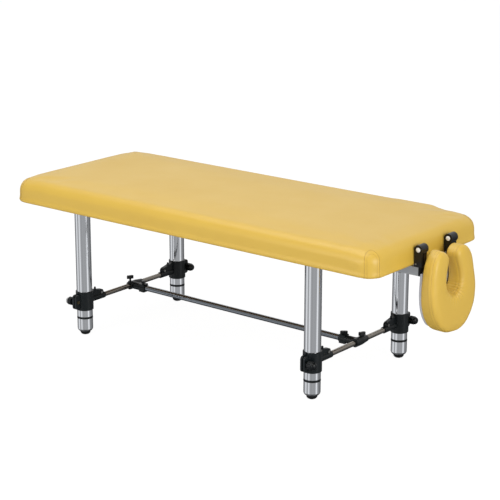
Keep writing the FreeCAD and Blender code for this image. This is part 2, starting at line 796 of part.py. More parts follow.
def make_bracket(side):
    y0 = bracket_low_y(side)
    end = HEAD_X + BRACKET_END_OUT
    start = end - BRACKET_LENGTH
    low = BRACKET_TOP_Z - BRACKET_H
    wall = BRACKET_WALL
    body = block(start, end, y0, y0 + BRACKET_W, low, BRACKET_TOP_Z)
    body = body.cut(block(start, end, y0 + wall, y0 + BRACKET_W - wall, low + wall, BRACKET_TOP_Z - wall))
    body = body.cut(tang_box(side, 0))
    for place in bracket_bolt_places():
        if abs(place.y - y0 - BRACKET_W / 2) < 1:
            base = vec(place.x, place.y, low)
            body = body.cut(rod(BRACKET_BOLT_D / 2 + SLIP_FIT, base, Z_AXIS, BRACKET_H))
    return body


def make_bracket_end_caps():
    caps = []
    wall = BRACKET_WALL
    for side in SIDES:
        y0 = bracket_low_y(side)
        start = HEAD_X + BRACKET_END_OUT
        low = BRACKET_TOP_Z - BRACKET_H
        pad = block(start, start + BUMPER_T, y0, y0 + BRACKET_W, low, BRACKET_TOP_Z)
        plug = block(
            start - BUMPER_PLUG_L, start,
            y0 + wall, y0 + BRACKET_W - wall,
            low + wall, BRACKET_TOP_Z - wall,
        )
        caps.append(pad.fuse(plug))
    return Part.makeCompound(caps)


def make_bracket_bolts():
    bolts = []
    low = BRACKET_TOP_Z - BRACKET_H
    for place in bracket_bolt_places():
        base = vec(place.x, place.y, low)
        shank = rod(BRACKET_BOLT_D / 2, base, Z_AXIS, BRACKET_H + SCREW_GRIP)
        head = rod(BRACKET_BOLT_HEAD_D / 2, base, Z_AXIS.negative(), BRACKET_BOLT_HEAD_T)
        bolts.append(shank.fuse(head))
    return Part.makeCompound(bolts)


# Hinges: a fixed arm with an eye, a pin with a white cap, and a moving barrel and strap
def make_fixed_arm(side):
    face = arm_face(side)
    half = ARM_W / 2
    eye = rod(KNUCKLE_R, vec(PIVOT_X, face, PIVOT_Z), Y_AXIS, ARM_T)
    strap = block(PIVOT_X - half, PIVOT_X + half, face, face + ARM_T, BRACKET_TOP_Z, PIVOT_Z)
    arm = eye.fuse([strap, tang_box(side, 0)])
    arm = arm.cut(rod(PIN_D / 2, vec(PIVOT_X, face, PIVOT_Z), Y_AXIS, ARM_T))
    arm = arm.cut(rod(RIVET_D / 4, rivet_place(side), Y_AXIS, ARM_T))
    return arm.removeSplitter()


def rivet_place(side):
    return vec(PIVOT_X - ARM_W / 4, arm_face(side), PIVOT_Z - RIVET_DROP)


def make_arm_rivets():
    rivets = []
    for side in SIDES:
        place = rivet_place(side)
        head = rod(RIVET_D / 2, place, Y_AXIS.negative(), RIVET_HEAD_T)
        rivets.append(head.fuse(rod(RIVET_D / 4, place, Y_AXIS, ARM_T)))
    return Part.makeCompound(rivets)


def make_hinge_pins():
    pins = []
    for side in SIDES:
        place = vec(PIVOT_X, arm_face(side), PIVOT_Z)
        length = HINGE_WIDTH + SIDE_GAP
        pin = rod(PIN_D / 2, place, Y_AXIS, length)
        head = rod(PIN_HEAD_D / 2, place + vec(0, length, 0), Y_AXIS, PIN_HEAD_T)
        pins.append(pin.fuse(head))
    return Part.makeCompound(pins)


def make_pin_caps():
    caps = []
    for side in SIDES:
        place = vec(PIVOT_X, arm_face(side), PIVOT_Z)
        cap = rod(CAP_D / 2, place, Y_AXIS.negative(), CAP_T)
        outer = [e for e in cap.Edges if abs(e.BoundBox.YMax - place.y + CAP_T) < 1e-4]
        caps.append(cap.makeFillet(CAP_T * 0.6, outer))
    return Part.makeCompound(caps)


def strap_low_y(side):
    return hinge_middle(side) + HINGE_WIDTH / 2 - STRAP_W


def make_moving_arm(side):
    """Barrel on the hinge pin with a strap that carries the cradle board."""
    start = arm_face(side) + ARM_T + SIDE_GAP
    length = HINGE_WIDTH - ARM_T - SIDE_GAP
    barrel = rod(KNUCKLE_R, vec(PIVOT_X, start, PIVOT_Z), Y_AXIS, length)
    y0 = strap_low_y(side)
    front = CRADLE_BACK_X
    strap = block(front - STRAP_T, front, y0, y0 + STRAP_W, STRAP_BOTTOM_Z, PIVOT_Z)
    foot_edges = []
    for edge in strap.Edges:
        box = edge.BoundBox
        if box.YLength < 1e-6 and box.ZLength < 1e-6 and abs(box.ZMin - STRAP_BOTTOM_Z) < 1e-6:
            foot_edges.append(edge)
    strap = strap.makeFillet(STRAP_W * 0.45, foot_edges)
    web_y = y0 + (STRAP_W - STRAP_WEB_T) / 2
    web = prism([
        vec(front, web_y, PIVOT_Z),
        vec(front, web_y, PIVOT_Z - STRAP_WEB_DROP),
        vec(front - STRAP_T, web_y, PIVOT_Z - STRAP_WEB_DROP),
        vec(PIVOT_X - KNUCKLE_R * 0.8, web_y, PIVOT_Z - KNUCKLE_R * 0.6),
        vec(PIVOT_X - KNUCKLE_R * 0.8, web_y, PIVOT_Z),
    ], vec(0, STRAP_WEB_T, 0))
    arm = barrel.fuse([strap, web])
    arm = arm.cut(rod(PIN_D / 2 + RUN_FIT, vec(PIVOT_X, start, PIVOT_Z), Y_AXIS, length))
    for place in strap_screw_places(side):
        arm = arm.cut(rod(SCREW_D / 2 + SLIP_FIT, place, X_AXIS, STRAP_T))
    return arm.removeSplitter()


def strap_screw_places(side):
    """Centres of the strap screws on the back face of the strap."""
    y = strap_low_y(side) + STRAP_W / 2
    return [vec(CRADLE_BACK_X - STRAP_T, y, PIVOT_Z - drop) for drop in STRAP_SCREW_DROPS]


def make_cradle_screws():
    screws = []
    for side in SIDES:
        for place in strap_screw_places(side):
            head = rod(SCREW_HEAD_D / 2, place, X_AXIS.negative(), SCREW_HEAD_T)
            rim = [e for e in head.Edges if e.BoundBox.XMax < place.x - 1]
            head = head.makeChamfer(SCREW_HEAD_EDGE, rim)
            screws.append(head.fuse(rod(SCREW_D / 2, place, X_AXIS, STRAP_SCREW_L)))
    return Part.makeCompound(screws)


# Cradle: a horseshoe board and cushion, open at the top while it hangs
def horseshoe(x, thickness):
    """Extruded horseshoe outline; heights are shares of the cushion's height."""
    half = CUSHION_W / 2
    slot = CUSHION_SLOT_W / 2
    floor = CUSHION_SLOT_FLOOR / CUSHION_H
    right = [
        (0, 0.0),
        (half * 0.50, 0.050),
        (half * 0.85, 0.210),
        (half, 0.470),
        (half * 0.97, 0.700),
        (half * 0.86, 0.900),
        (half * 0.58, 1.000),
        (slot * 0.60, 0.900),
        (slot * 0.78, 0.780),
        (slot, 0.630),
        (slot * 0.74, floor + 0.045),
        (0, floor),
    ]
    left = [(-y, z) for y, z in right[-2:0:-1]]
    points = [vec(x, y, CUSHION_BOTTOM_Z + z * CUSHION_H) for y, z in right + left]
    curve = Part.BSplineCurve()
    curve.interpolate(Points=points, PeriodicFlag=True)
    face = Part.Face(Part.Wire([curve.toShape()]))
    return face.extrude(vec(thickness, 0, 0))


def make_cradle_board():
    board = horseshoe(CRADLE_BACK_X, CRADLE_BOARD_T)
    top = CUSHION_BOTTOM_Z + CUSHION_H + 1
    waste = block(
        CRADLE_BACK_X - 1, CRADLE_BACK_X + CRADLE_BOARD_T + 1,
        -CUSHION_W, CUSHION_W, CRADLE_BOARD_TOP_Z, top,
    )
    board = board.cut(waste)
    for side in SIDES:
        for place in strap_screw_places(side):
            board = board.cut(rod(SCREW_D / 2, place, X_AXIS, STRAP_SCREW_L))
    return board


def make_cradle_cushion():
    pad = horseshoe(CUSHION_BACK_X, CUSHION_T)
    front = CUSHION_BACK_X + CUSHION_T
    front_edges = [e for e in pad.Edges if e.BoundBox.XMin > front - 1e-3]
    pad = pad.makeFillet(CUSHION_FRONT_R, front_edges)
    back_edges = [e for e in pad.Edges if e.BoundBox.XMax < CUSHION_BACK_X + 1e-3]
    return pad.makeFillet(CUSHION_BACK_R, back_edges)


def build_nodes():
    nodes = {
        "mattress": make_mattress(),
        "base_board": make_base_board(),
        "battens": make_battens(),
        "flange_screws": make_flange_screws(),
        "collar_nuts": make_collar_nuts(),
        "socket_bolts": make_socket_bolts(),
        "long_bar": make_long_bar(),
        "bracket_end_caps": make_bracket_end_caps(),
        "bracket_bolts": make_bracket_bolts(),
        "arm_rivets": make_arm_rivets(),
        "hinge_pins": make_hinge_pins(),
        "pin_caps": make_pin_caps(),
        "cradle_board": make_cradle_board(),
        "cradle_cushion": make_cradle_cushion(),
        "cradle_screws": make_cradle_screws(),
        "knob_cap_foot_near": make_knob_cap("foot_near"),
    }
    for name in LEGS:
        nodes["leg_flange_" + name] = make_flange(name)
        nodes["leg_tube_" + name] = make_leg_tube(name)
        nodes["leg_plug_" + name] = make_leg_plug(name)
        nodes["foot_sleeve_" + name] = make_foot_sleeve(name)
        nodes["rubber_foot_" + name] = make_rubber_foot(name)
        nodes["collar_" + name] = make_collar(name)
        nodes["collar_knob_" + name] = make_collar_knob(name, name != "foot_near")
    for end in ENDS:
        nodes["cross_bar_" + end] = make_cross_bar(end)
        nodes["t_clamp_" + end] = make_t_clamp(end)
        nodes["sleeve_knob_" + end] = make_sleeve_knob(end)
        nodes["socket_knob_" + end] = make_socket_knob(end)
    for side in SIDES:
        nodes["cradle_bracket_" + side] = make_bracket(side)
        nodes["fixed_arm_" + side] = make_fixed_arm(side)
        nodes["moving_arm_" + side] = make_moving_arm(side)
    return nodes


os.makedirs("parts", exist_ok=True)
for node, shape in build_nodes().items():
    shape.exportStep("parts/" + node + ".step")
    print(node, "solids", len(shape.Solids), "valid", shape.isValid(), "volume", round(shape.Volume))
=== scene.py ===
# Massage bed in yellow vinyl on chromed legs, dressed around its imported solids.
import math

import bmesh
import bpy
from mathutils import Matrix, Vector


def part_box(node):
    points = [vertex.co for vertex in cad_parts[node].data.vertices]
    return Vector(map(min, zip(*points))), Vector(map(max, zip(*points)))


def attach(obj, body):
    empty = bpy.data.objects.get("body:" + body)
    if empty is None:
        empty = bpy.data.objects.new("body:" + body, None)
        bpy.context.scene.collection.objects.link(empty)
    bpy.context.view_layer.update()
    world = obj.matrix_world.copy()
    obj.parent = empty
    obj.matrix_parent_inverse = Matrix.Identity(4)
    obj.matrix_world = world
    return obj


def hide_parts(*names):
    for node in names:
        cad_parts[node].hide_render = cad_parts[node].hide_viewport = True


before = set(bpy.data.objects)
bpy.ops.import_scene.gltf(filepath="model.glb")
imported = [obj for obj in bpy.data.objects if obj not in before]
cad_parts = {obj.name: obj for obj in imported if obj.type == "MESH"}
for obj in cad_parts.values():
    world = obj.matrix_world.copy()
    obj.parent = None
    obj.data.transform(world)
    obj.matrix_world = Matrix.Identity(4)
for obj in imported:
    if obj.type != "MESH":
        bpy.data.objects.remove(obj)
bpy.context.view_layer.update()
MM = 0.001


# The padded top: 100 mm of foam on a board, pulled tight in soft yellow vinyl (PVC on a
# knitted back). The cover is cut as a top and a side band, so it swells a little between
# its edges and is held flat where it is stapled round the board.
def start_clean():
    if bpy.context.object and bpy.context.object.mode != "OBJECT":
        bpy.ops.object.mode_set(mode="OBJECT")
    bpy.ops.object.select_all(action="DESELECT")


def take(piece):
    """Makes one piece the active one and the only selected one, in object mode."""
    start_clean()
    piece.select_set(True)
    bpy.context.view_layer.objects.active = piece


def edit(piece):
    """Opens a piece in edit mode with nothing selected."""
    take(piece)
    bpy.ops.object.mode_set(mode="EDIT")
    bpy.ops.mesh.select_mode(type="VERT")
    bpy.ops.mesh.select_all(action="DESELECT")


def pick(piece, kind, wanted):
    """Selects the vertices, edges or faces of a piece in edit mode by their place."""
    grid = bmesh.from_edit_mesh(piece.data)
    modes = {"verts": "VERT", "edges": "EDGE", "faces": "FACE"}
    bpy.ops.mesh.select_mode(type=modes[kind])
    for part in getattr(grid, kind):
        part.select_set(bool(wanted(part)))
    grid.select_flush_mode()
    bmesh.update_edit_mesh(piece.data)


def settle(piece, name):
    """Puts a finished piece's place into its mesh and names it."""
    take(piece)
    bpy.ops.object.transform_apply(location=True, rotation=True, scale=True)
    piece.name = name
    piece.data.name = name
    return piece


def finish_with(piece, kind, **settings):
    """Adds one modifier and applies it."""
    take(piece)
    modifier = piece.modifiers.new(kind.title(), kind)
    for key, value in settings.items():
        setattr(modifier, key, value)
    bpy.ops.object.modifier_apply(modifier=modifier.name)


def clamp(value):
    """A value held between 0 and 1."""
    return min(1.0, max(0.0, value))


CLOTH_STEPS = 20


def inflate(piece, pressure, cap, pinned):
    """Swells a closed cover with air pressure, each point by no more than the cap."""
    group = piece.vertex_groups.new(name="held")
    for vertex in piece.data.vertices:
        weight = pinned(vertex.co)
        if weight > 0:
            group.add([vertex.index], weight, "REPLACE")
    before = [vertex.co.copy() for vertex in piece.data.vertices]
    take(piece)
    cloth = piece.modifiers.new("Cover", "CLOTH")
    cloth.settings.use_pressure = True
    cloth.settings.uniform_pressure_force = pressure
    cloth.settings.effector_weights.gravity = 0
    cloth.settings.vertex_group_mass = "held"
    cloth.settings.quality = 5
    cloth.settings.tension_stiffness = 15
    cloth.settings.compression_stiffness = 15
    cloth.settings.bending_stiffness = 0.5
    cloth.collision_settings.use_collision = False
    for step in range(1, CLOTH_STEPS + 1):
        bpy.context.scene.frame_set(step)
    bpy.ops.object.modifier_apply(modifier=cloth.name)
    bpy.context.scene.frame_set(1)
    for vertex, rest in zip(piece.data.vertices, before):
        moved = vertex.co - rest
        if moved.length > cap:
            vertex.co = rest + moved * (cap / moved.length)


low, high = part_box("mattress")
# The swelling fills out the top again, and the smoothing draws the sides in again
TOP_SHRINK = 3 * MM
SIDE_OUT = 2.5 * MM
STEP_X = high.x - 195 * MM
STEP_END_X = high.x - 145 * MM
STEP_DEPTH = 24 * MM
CORNER_R = 63 * MM
STEP_R = 22 * MM
TOP_EDGE_R = 42 * MM
LOW_EDGE_R = 7 * MM
COVER_VOXEL = 11 * MM
END_ZONE = 9 * MM
STEP_ZONE = 60 * MM

start_clean()
bpy.ops.mesh.primitive_cube_add(size=1, location=(low + high) / 2)
mattress = bpy.context.object
mattress.scale = (
    high.x - low.x + 2 * SIDE_OUT,
    high.y - low.y + 2 * SIDE_OUT,
    high.z - low.z - TOP_SHRINK,
)
mattress.location.z -= TOP_SHRINK / 2
settle(mattress, "mattress_cover")
edit(mattress)
for x in (STEP_X, STEP_END_X):
    bpy.ops.mesh.select_all(action="SELECT")
    bpy.ops.mesh.bisect(plane_co=(x, 0, 0), plane_no=(1, 0, 0))
pick(mattress, "verts", lambda v: v.co.x > STEP_END_X - MM and v.co.y > 0)
bpy.ops.transform.translate(value=(0, -STEP_DEPTH, 0))


def is_upright(edge):
    one, two = edge.verts
    return abs(one.co.z - two.co.z) > (high.z - low.z) / 2


def at_end(edge):
    x = edge.verts[0].co.x
    return x > high.x - END_ZONE or x < low.x + END_ZONE


def at_step(edge):
    one = edge.verts[0].co
    return abs(one.x - STEP_X) < STEP_ZONE and one.y > 0


def on_level(edge, height):
    level = all(abs(v.co.z - height) < MM for v in edge.verts)
    return level and any(abs(f.normal.z) < 0.5 for f in edge.link_faces)


pick(mattress, "edges", lambda e: is_upright(e) and at_end(e))
bpy.ops.mesh.bevel(offset=CORNER_R, segments=10, affect="EDGES")
pick(mattress, "edges", lambda e: is_upright(e) and at_step(e))
bpy.ops.mesh.bevel(offset=STEP_R, segments=6, affect="EDGES")
pick(mattress, "edges", lambda e: on_level(e, high.z - TOP_SHRINK))
bpy.ops.mesh.bevel(offset=TOP_EDGE_R, segments=8, affect="EDGES")
pick(mattress, "edges", lambda e: on_level(e, low.z))
bpy.ops.mesh.bevel(offset=LOW_EDGE_R, segments=3, affect="EDGES")
bpy.ops.object.mode_set(mode="OBJECT")
finish_with(mattress, "REMESH", mode="VOXEL", voxel_size=COVER_VOXEL, use_smooth_shade=True)
finish_with(mattress, "SMOOTH", factor=0.5, iterations=4)

# The foam gives way a little under the pull of the vinyl at the four corners
CORNER_SAG = 5 * MM
SAG_GRIP = 48 * MM
SAG_REACH = 80 * MM
for x, y in ((low.x, low.y), (low.x, high.y), (high.x, low.y), (high.x, high.y - STEP_DEPTH)):
    corner = Vector((x, y, high.z))
    edit(mattress)
    pick(mattress, "verts", lambda v: (v.co - corner).length < SAG_GRIP)
    bpy.ops.transform.translate(
        value=(0, 0, -CORNER_SAG), use_proportional_edit=True,
        proportional_edit_falloff="SMOOTH", proportional_size=SAG_REACH,
    )
    bpy.ops.object.mode_set(mode="OBJECT")

HELD_H = 26 * MM
HELD_FADE = 16 * MM


def held_at_board(place):
    return clamp((low.z + HELD_H - place.z) / HELD_FADE)


inflate(mattress, pressure=4.0, cap=4.5 * MM, pinned=held_at_board)
finish_with(mattress, "SUBSURF", levels=1, render_levels=1)

# The board sits flush in a recess, so the cover turns up at its edge
deck_low, deck_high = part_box("base_board")
DECK_CORNER = 35 * MM
RECESS = 5 * MM
TURN_UP = 8 * MM
UNDERSIDE_H = 8 * MM


def inside_deck(place):
    """How far a place lies inside the board's edge, in plan."""
    step = STEP_DEPTH * clamp((place.x - STEP_X) / (STEP_END_X - STEP_X))
    across = min(place.y - deck_low.y, deck_high.y - step - place.y)
    along = min(place.x - deck_low.x, deck_high.x - place.x)
    if across < DECK_CORNER and along < DECK_CORNER:
        return DECK_CORNER - math.hypot(DECK_CORNER - across, DECK_CORNER - along)
    return min(across, along)


for vertex in mattress.data.vertices:
    if vertex.co.z < low.z + UNDERSIDE_H:
        vertex.co.z += RECESS * clamp(inside_deck(vertex.co) / TURN_UP + 0.5)
take(mattress)
bpy.ops.object.shade_smooth()


def linear(code):
    """An sRGB hex colour as the linear values that a shader takes."""
    values = []
    for start in (1, 3, 5):
        level = int(code[start:start + 2], 16) / 255
        values.append(level / 12.92 if level <= 0.04045 else ((level + 0.055) / 1.055) ** 2.4)
    return (*values, 1.0)


def add_node(tree, kind, values=None, **settings):
    """Adds one shader node; a value that is a socket is linked, any other is set."""
    made = tree.nodes.new(kind)
    for key, value in settings.items():
        setattr(made, key, value)
    for key, value in (values or {}).items():
        if isinstance(value, bpy.types.NodeSocket):
            tree.links.new(value, made.inputs[key])
        else:
            made.inputs[key].default_value = value
    return made


def new_finish(name):
    """An empty material with its tree, its Principled shader and the object's coordinates."""
    material = bpy.data.materials.new(name)
    material.use_nodes = True
    tree = material.node_tree
    tree.nodes.clear()
    shader = add_node(tree, "ShaderNodeBsdfPrincipled")
    add_node(tree, "ShaderNodeOutputMaterial", {"Surface": shader.outputs["BSDF"]})
    place = add_node(tree, "ShaderNodeTexCoord").outputs["Object"]
    return material, tree, shader, place


def cover(piece, material):
    """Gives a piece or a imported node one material."""
    piece.data.materials.clear()
    piece.data.materials.append(material)


# Soft PVC, IOR about 1.5, embossed with a fine leather grain of 1.6 mm cells. The cover
# has a low satin shine, and slack under 1 mm shows as soft broad changes of light.
GRAIN = 1.6 * MM
SLACK = 1000 * MM / 9
PATCH = 200 * MM


def make_vinyl(name, base, deep):
    material, tree, shader, place = new_finish(name)
    patches = add_node(tree, "ShaderNodeTexNoise", {
        "Vector": place, "Scale": 1 / PATCH, "Detail": 3.0, "Roughness": 0.5})
    tint = add_node(tree, "ShaderNodeMix", {
        "Factor": patches.outputs["Fac"], "A": linear(base), "B": linear(deep)}, data_type="RGBA")
    tree.links.new(tint.outputs["Result"], shader.inputs["Base Color"])
    gloss = add_node(tree, "ShaderNodeMapRange", {
        "Value": patches.outputs["Fac"], "To Min": 0.36, "To Max": 0.48})
    tree.links.new(gloss.outputs["Result"], shader.inputs["Roughness"])
    grain = add_node(tree, "ShaderNodeTexVoronoi", {
        "Vector": place, "Scale": 1 / GRAIN}, feature="F1")
    slack = add_node(tree, "ShaderNodeTexNoise", {
        "Vector": place, "Scale": 1 / SLACK, "Detail": 1.0})
    broad = add_node(tree, "ShaderNodeBump", {
        "Height": slack.outputs["Fac"], "Strength": 0.35, "Distance": 3 * MM})
    fine = add_node(tree, "ShaderNodeBump", {
        "Height": grain.outputs["Distance"], "Normal": broad.outputs["Normal"],
        "Strength": 0.25, "Distance": 0.15 * MM})
    tree.links.new(fine.outputs["Normal"], shader.inputs["Normal"])
    shader.inputs["IOR"].default_value = 1.5
    shader.inputs["Coat Weight"].default_value = 0.12
    shader.inputs["Coat Roughness"].default_value = 0.3
    return material


yellow_vinyl = make_vinyl("yellow_soft_vinyl", "#DCB64A", "#D6AE43")
cover(mattress, yellow_vinyl)
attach(mattress, "frame")
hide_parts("mattress")


# Corner panels: at each corner the side band is closed by a narrow tongue of vinyl with
# a rounded top, sewn in with thick polyester thread. The seam shows as a fine darker
# line, and a second row of stitches runs 8 mm inside it.
PANEL_HALF = 25 * MM
PANEL_TOP_IN = 9 * MM
PANEL_ARCH_Z = high.z - PANEL_TOP_IN - PANEL_HALF
PANEL_HEM = 1.5 * MM
PANEL_STEPS = 24
CAST_OFF = 120 * MM
THREAD_LIFT = 0.15 * MM
STITCH_IN = 8 * MM
NIL = 0.01 * MM


def draw_tongue(corner, turn, half):
    """A wire in the shape of an upside-down U, laid on the cover by projection."""
    start_clean()
    bpy.ops.mesh.primitive_circle_add(
        vertices=64, radius=half, location=(0, 0, 0), rotation=(math.pi / 2, 0, 0))
    wire = bpy.context.object
    bpy.ops.object.transform_apply(location=False, rotation=True, scale=True)
    edit(wire)
    pick(wire, "verts", lambda v: v.co.z < -NIL)
    bpy.ops.mesh.delete(type="VERT")
    pick(wire, "verts", lambda v: abs(v.co.z) < NIL)
    drop = PANEL_ARCH_Z - low.z - PANEL_HEM
    for _ in range(PANEL_STEPS):
        bpy.ops.mesh.extrude_region_move(
            TRANSFORM_OT_translate={"value": (0, 0, -drop / PANEL_STEPS)})
    bpy.ops.object.mode_set(mode="OBJECT")
    wire.rotation_euler = (0, 0, turn)
    out = Vector((math.sin(turn), -math.cos(turn), 0)) * CAST_OFF
    wire.location = Vector((corner[0], corner[1], PANEL_ARCH_Z)) + out
    finish_with(
        wire, "SHRINKWRAP", target=mattress, wrap_method="PROJECT", use_project_y=True,
        use_positive_direction=True, use_negative_direction=False, offset=THREAD_LIFT,
    )
    return wire


def make_rope(wire, radius, name):
    """Turns a wire into a round thread."""
    take(wire)
    bpy.ops.object.convert(target="CURVE")
    wire.data.bevel_depth = radius
    wire.data.bevel_resolution = 2
    wire.data.use_fill_caps = True
    bpy.ops.object.convert(target="MESH")
    return settle(bpy.context.object, name)


# Corner centres of the plan and the turn that faces each of them outwards
CORNER_IN = 65 * MM
HEAD_IN, FOOT_IN = high.x - CORNER_IN, low.x + CORNER_IN
NEAR_IN, FAR_IN = low.y + CORNER_IN, high.y - CORNER_IN
CORNERS = {
    "head_near": ((HEAD_IN, NEAR_IN), math.radians(45)),
    "head_far": ((HEAD_IN, FAR_IN - STEP_DEPTH), math.radians(135)),
    "foot_far": ((FOOT_IN, FAR_IN), math.radians(225)),
    "foot_near": ((FOOT_IN, NEAR_IN), math.radians(315)),
}

# Bonded polyester thread, a shade darker than the vinyl, with a soft shine
TWIST = 1000 * MM / 120
thread, tree, shader, place = new_finish("yellow_polyester_thread")
twist = add_node(tree, "ShaderNodeTexWave", {
    "Vector": place, "Scale": 1 / TWIST, "Distortion": 0.5}, bands_direction="Z")
tone = add_node(tree, "ShaderNodeMix", {
    "Factor": twist.outputs["Fac"], "A": linear("#B08C3C"), "B": linear("#C8A450")},
    data_type="RGBA")
tree.links.new(tone.outputs["Result"], shader.inputs["Base Color"])
shader.inputs["Roughness"].default_value = 0.6

for name, (corner, turn) in CORNERS.items():
    for row, inside, radius in (("seam", 0, 0.8 * MM), ("stitches", STITCH_IN, 0.4 * MM)):
        wire = draw_tongue(corner, turn, PANEL_HALF - inside)
        rope = make_rope(wire, radius, "corner_" + row + "_" + name)
        cover(rope, thread)
        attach(rope, "frame")


# The face cushion: a horseshoe of foam in the same vinyl, with a soft round face and a
# side band sewn to it near the front. The foam is cut thicker at the foot, so its face
# leans outwards, and the cover is gathered in small puckers round the foot of the slot.
def copy_of(node, name):
    """A new piece in edit mode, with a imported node's mesh whose doubled points are joined."""
    start_clean()
    piece = bpy.data.objects.new(name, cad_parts[node].data.copy())
    bpy.context.scene.collection.objects.link(piece)
    edit(piece)
    bpy.ops.mesh.select_all(action="SELECT")
    bpy.ops.mesh.remove_doubles(threshold=0.05 * MM)
    bpy.ops.mesh.normals_make_consistent(inside=False)
    return piece


pad_low, pad_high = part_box("cradle_cushion")
pad_mid_z = (pad_low.z + pad_high.z) / 2
PAD_VOXEL = 4.5 * MM
PAD_SHRINK = 3 * MM
cushion = copy_of("cradle_cushion", "face_cushion")
bpy.ops.object.mode_set(mode="OBJECT")
finish_with(cushion, "REMESH", mode="VOXEL", voxel_size=PAD_VOXEL, use_smooth_shade=True)
edit(cushion)
bpy.ops.mesh.select_all(action="SELECT")
bpy.ops.transform.shrink_fatten(value=-PAD_SHRINK)
bpy.ops.object.mode_set(mode="OBJECT")

# The form: wider at the face and at mid height, with a leaning face, tips that droop
# (more on the far side, from FAR_BLEND on) and a slot that reaches lower
FACE_FLARE = 0.10
BELLY = 0.05
BELLY_RISE = 0.45
FACE_LEAN = 0.078
FACE_IN_AT_TOP = 12 * MM
TIP_DROP = 4 * MM
FAR_BLEND = 60 * MM
SLOT_DROP = 11 * MM
SLOT_FOOT_Z = pad_low.z + 175 * MM
SLOT_SPREAD_Y = 50 * MM
SLOT_SPREAD_Z = 60 * MM
for vertex in cushion.data.vertices:
    place = vertex.co
    front = (place.x - pad_low.x) / (pad_high.x - pad_low.x)
    rise = (place.z - pad_low.z) / (pad_high.z - pad_low.z)
    far = clamp(place.y / FAR_BLEND)
    beside, above = place.y / SLOT_SPREAD_Y, (place.z - SLOT_FOOT_Z) / SLOT_SPREAD_Z
    near_foot = math.exp(-(beside ** 2) - above ** 2)
    place.y *= 1 + FACE_FLARE * front + BELLY * (1 - 2 * ((rise - BELLY_RISE) / 0.5) ** 2)
    place.x += front * (FACE_LEAN * (pad_high.z - place.z) - FACE_IN_AT_TOP)
    place.z -= TIP_DROP * (1 + far) * rise ** 3 + SLOT_DROP * near_foot
finish_with(cushion, "SMOOTH", factor=0.5, iterations=10)

BACK_HELD = 12 * MM
BACK_FADE = 8 * MM


def held_at_back(place):
    return clamp((pad_low.x + BACK_HELD - place.x) / BACK_FADE)


inflate(cushion, pressure=5.0, cap=2 * MM, pinned=held_at_back)
finish_with(cushion, "SMOOTH", factor=0.5, iterations=12)
finish_with(cushion, "SUBSURF", levels=1, render_levels=1)

# Seam line in the wall, and uneven gathers round the foot of the slot that fade out
SEAM_IN = 50 * MM
BAND_ROW = 39 * MM
SEAM_GROOVE = 1.2 * MM
GROOVE_HALF = 5 * MM
GATHER_Z = pad_low.z + 171 * MM
GATHER_R = 38 * MM
GATHER_REACH = 42 * MM
GATHERS = 23
PUCKER = 2.3 * MM
outwards = [vertex.normal.copy() for vertex in cushion.data.vertices]
for vertex, outward in zip(cushion.data.vertices, outwards):
    depth = vertex.co.x - pad_low.x + FACE_LEAN * (vertex.co.z - pad_mid_z)
    groove = SEAM_GROOVE * max(0.0, 1 - abs(depth - SEAM_IN) / GROOVE_HALF) ** 2
    up = vertex.co.z - GATHER_Z
    out = math.hypot(vertex.co.y, up)
    around = math.atan2(vertex.co.y, -up)
    fade = max(0.0, 1 - max(0.0, out - GATHER_R) / GATHER_REACH) ** 2
    below = max(0.0, math.cos(around * 0.8))
    deep = clamp(depth / SEAM_IN)
    wave = math.cos(around * GATHERS + 0.9 * math.sin(around * 5 + 1))
    vertex.co += outward * (PUCKER * fade * below * deep * wave - groove)
take(cushion)
bpy.ops.object.shade_smooth()


def section_of(piece, depth):
    """The outline of the cushion where a plane that leans with its face cuts it."""
    start_clean()
    loop = piece.copy()
    loop.data = piece.data.copy()
    bpy.context.scene.collection.objects.link(loop)
    edit(loop)
    bpy.ops.mesh.select_all(action="SELECT")
    bpy.ops.mesh.bisect(
        plane_co=(pad_low.x + depth, 0, pad_mid_z), plane_no=(1, 0, FACE_LEAN),
        clear_inner=True, clear_outer=True,
    )
    bpy.ops.object.mode_set(mode="OBJECT")
    return loop


pad_rows = []
for name, depth, radius in (
    ("cushion_seam", SEAM_IN, 0.5 * MM),
    ("cushion_stitches", BAND_ROW, 0.3 * MM),
):
    pad_rows.append(make_rope(section_of(cushion, depth), radius, name))
for piece in [cushion] + pad_rows:
    cover(piece, yellow_vinyl if piece is cushion else thread)
    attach(piece, "cradle")
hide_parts("cradle_cushion")


# Board and battens under the padding: plywood with its long grain along the bed, its
# brown darkened as painted shade for the board's place in shade under the bed, and two
# planed softwood battens glued on.
GRAIN_STRETCH = 14


def make_wood(name, light, dark, ring):
    material, tree, shader, place = new_finish(name)
    along = add_node(tree, "ShaderNodeMapping", {
        "Vector": place, "Scale": (1.0, GRAIN_STRETCH, GRAIN_STRETCH)})
    rings = add_node(tree, "ShaderNodeTexNoise", {
        "Vector": along.outputs["Vector"], "Scale": 1 / ring / GRAIN_STRETCH,
        "Detail": 6.0, "Roughness": 0.6})
    tone = add_node(tree, "ShaderNodeMix", {
        "Factor": rings.outputs["Fac"], "A": linear(dark), "B": linear(light)}, data_type="RGBA")
    tree.links.new(tone.outputs["Result"], shader.inputs["Base Color"])
    relief = add_node(tree, "ShaderNodeBump", {
        "Height": rings.outputs["Fac"], "Strength": 0.2, "Distance": 0.3 * MM})
    tree.links.new(relief.outputs["Normal"], shader.inputs["Normal"])
    shader.inputs["Roughness"].default_value = 0.65
    return material


# The plywood's brown is darkened past its own tone: painted shade of the board lying under the
# bed.
plywood = make_wood("birch_plywood_painted_shade", "#9A7B55", "#7C5E3C", 4 * MM)
softwood = make_wood("planed_softwood", "#A88758", "#86653C", 3 * MM)
cover(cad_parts["base_board"], plywood)
cover(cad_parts["battens"], softwood)


# Legs, sleeves and bars: bright chromed steel tube, on the long bar a chrome darkened to
# blue-grey and on the cross bars steel in a warm dark grey, both painted reflections of
# the shade under the bed. Faint lengthwise polishing marks soften the reflections, and
# the fasteners are zinc plated.
HAZE = 1000 * MM / 60


